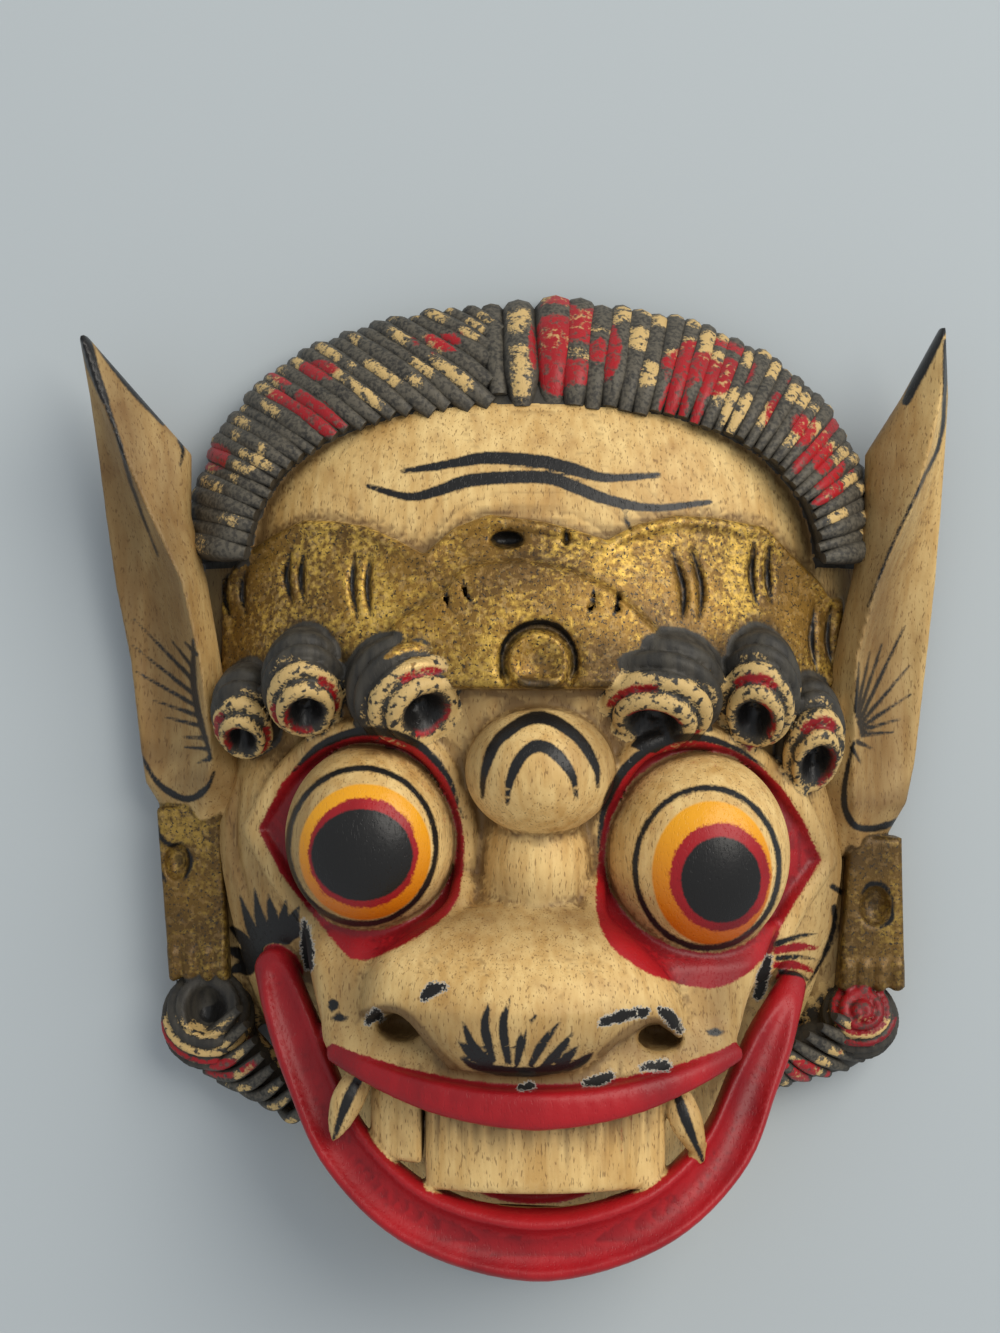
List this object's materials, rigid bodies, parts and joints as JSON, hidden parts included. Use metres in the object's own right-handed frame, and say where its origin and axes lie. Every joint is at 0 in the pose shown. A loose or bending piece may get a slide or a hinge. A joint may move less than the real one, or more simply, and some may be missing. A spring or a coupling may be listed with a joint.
{
  "type": "barong mask",
  "caption": "Carved and painted wooden barong mask with a hollow back, lying face up on its flat back rim: bulging eyes, gold diadem, combed hair, pointed ears, toothed red mouth.",
  "frame": {"origin": "centre of the mask's bounding box at the flat back rim it lies on", "axes": "+Z out of the face, +Y up the face to the crown, +X to the viewer's right"},
  "size_m": [0.2498, 0.2851, 0.0858],
  "materials": {
    "painted_wood": "worn hand-painted and partly gilt, satin"
  },
  "bodies": {
    "root": {"mask": "painted_wood"}
  },
  "joints": []
}
